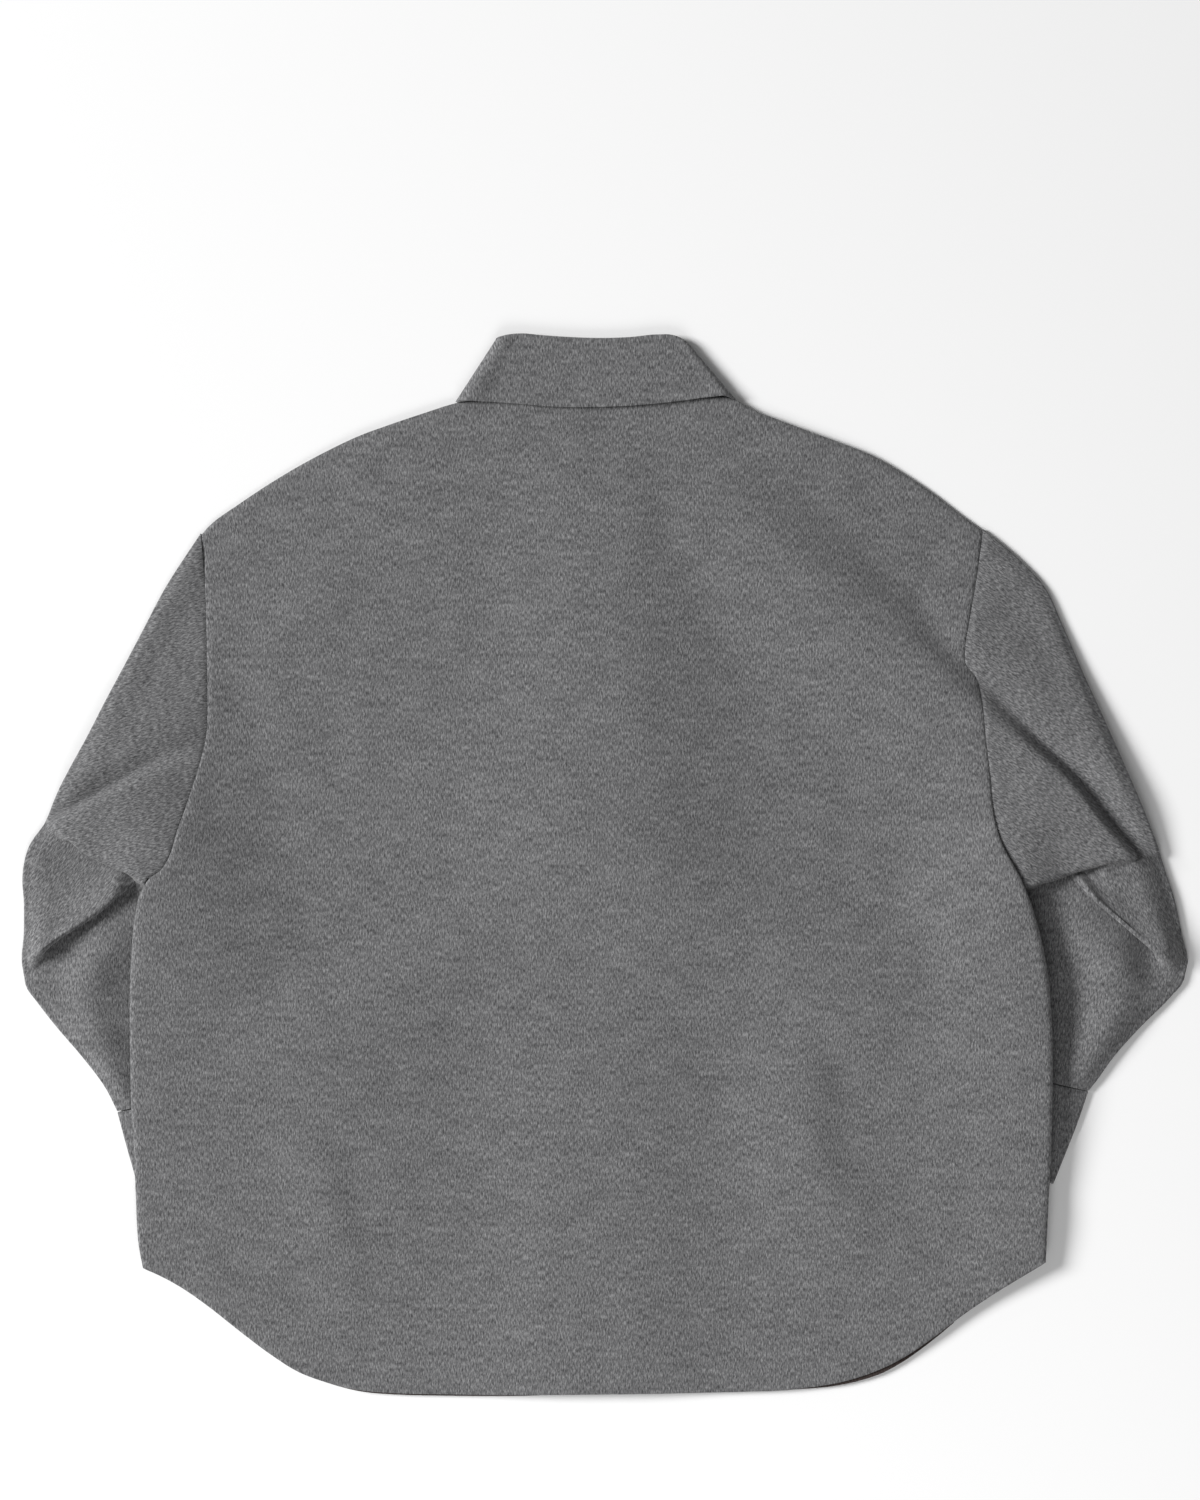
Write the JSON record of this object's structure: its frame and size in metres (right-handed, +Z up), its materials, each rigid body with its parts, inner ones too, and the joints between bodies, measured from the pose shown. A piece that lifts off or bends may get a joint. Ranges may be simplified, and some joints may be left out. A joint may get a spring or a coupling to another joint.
{
  "type": "shacket",
  "caption": "Oversized wool shirt-jacket lying flat, face down: plain back, shirt collar, dropped shoulders, curved hem, sleeves folded under at the elbows.",
  "frame": {"origin": "on the surface the garment lies on, under the middle of its outline", "axes": "+X across the garment, +Y from the hem to the collar, +Z up from the surface, towards the back panel"},
  "size_m": [0.8624, 0.7852, 0.0244],
  "materials": {
    "wool": "grey melange wool with a brushed nap",
    "facing": "dark brown smooth facing",
    "button": "dark matt buttons"
  },
  "bodies": {
    "root": {"back_panel": "wool", "front_left": "wool", "front_right": "wool", "hem_facing_left": "facing", "hem_facing_right": "facing", "sleeve_left": "wool", "sleeve_right": "wool", "cuff_left": "wool", "cuff_right": "wool", "collar_stand": "wool", "collar_fall": "wool", "button_1": "button", "button_2": "button", "button_3": "button", "button_4": "button", "button_5": "button", "button_6": "button"}
  },
  "joints": []
}
